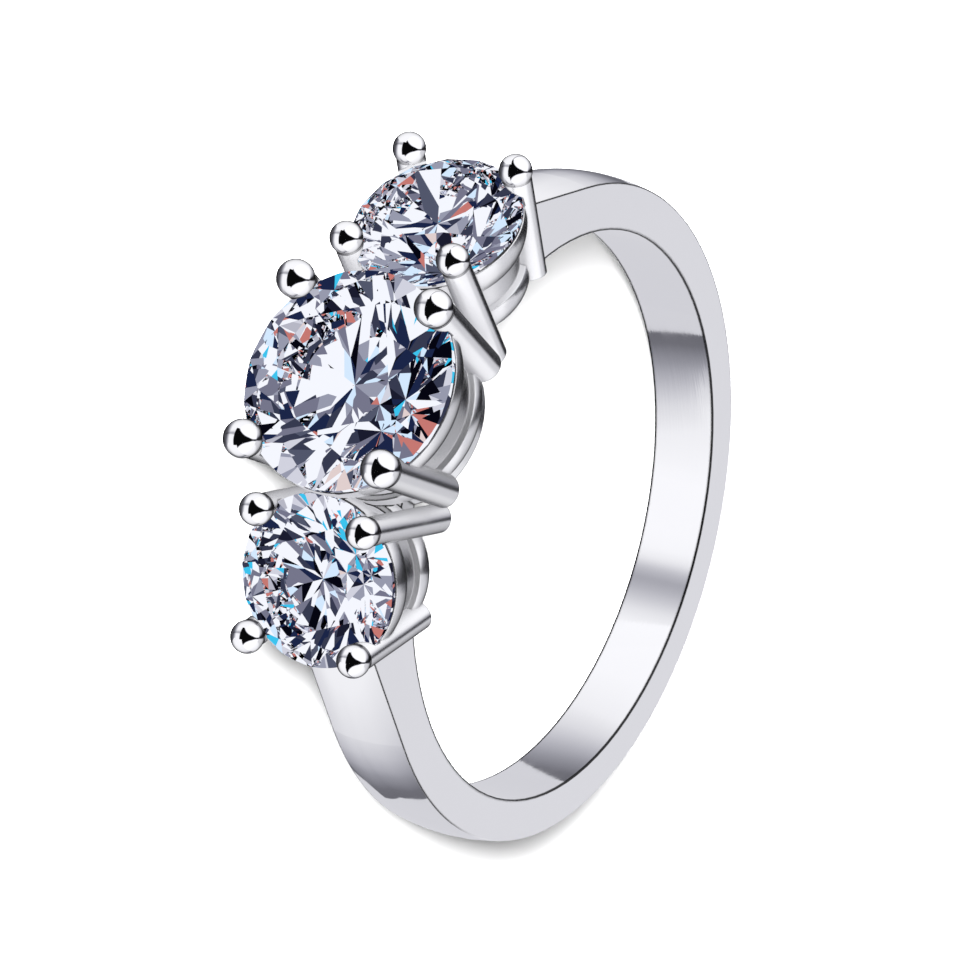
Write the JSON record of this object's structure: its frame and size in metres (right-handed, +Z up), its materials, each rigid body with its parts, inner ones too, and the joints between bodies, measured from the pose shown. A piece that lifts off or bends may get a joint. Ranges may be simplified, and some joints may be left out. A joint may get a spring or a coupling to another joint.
{
  "type": "three stone ring",
  "caption": "Polished silver finger ring with a round faceted centre stone and a smaller round stone on each side, in cup settings with ball-tipped prongs.",
  "frame": {"origin": "middle of the finger hole", "axes": "+Z up and close to the finger hole's axis, which leans 6 degrees from it because the ring rests on its side; -Y towards the stones, +Y towards the back of the band, X along the line of the three stones"},
  "size_m": [0.0196, 0.0229, 0.0066],
  "materials": {
    "silver": "polished silver",
    "stone": "clear faceted stone with strong fire"
  },
  "bodies": {
    "root": {"ring_mount": "silver", "centre_stone": "stone", "side_stone_left": "stone", "side_stone_right": "stone"}
  },
  "joints": []
}
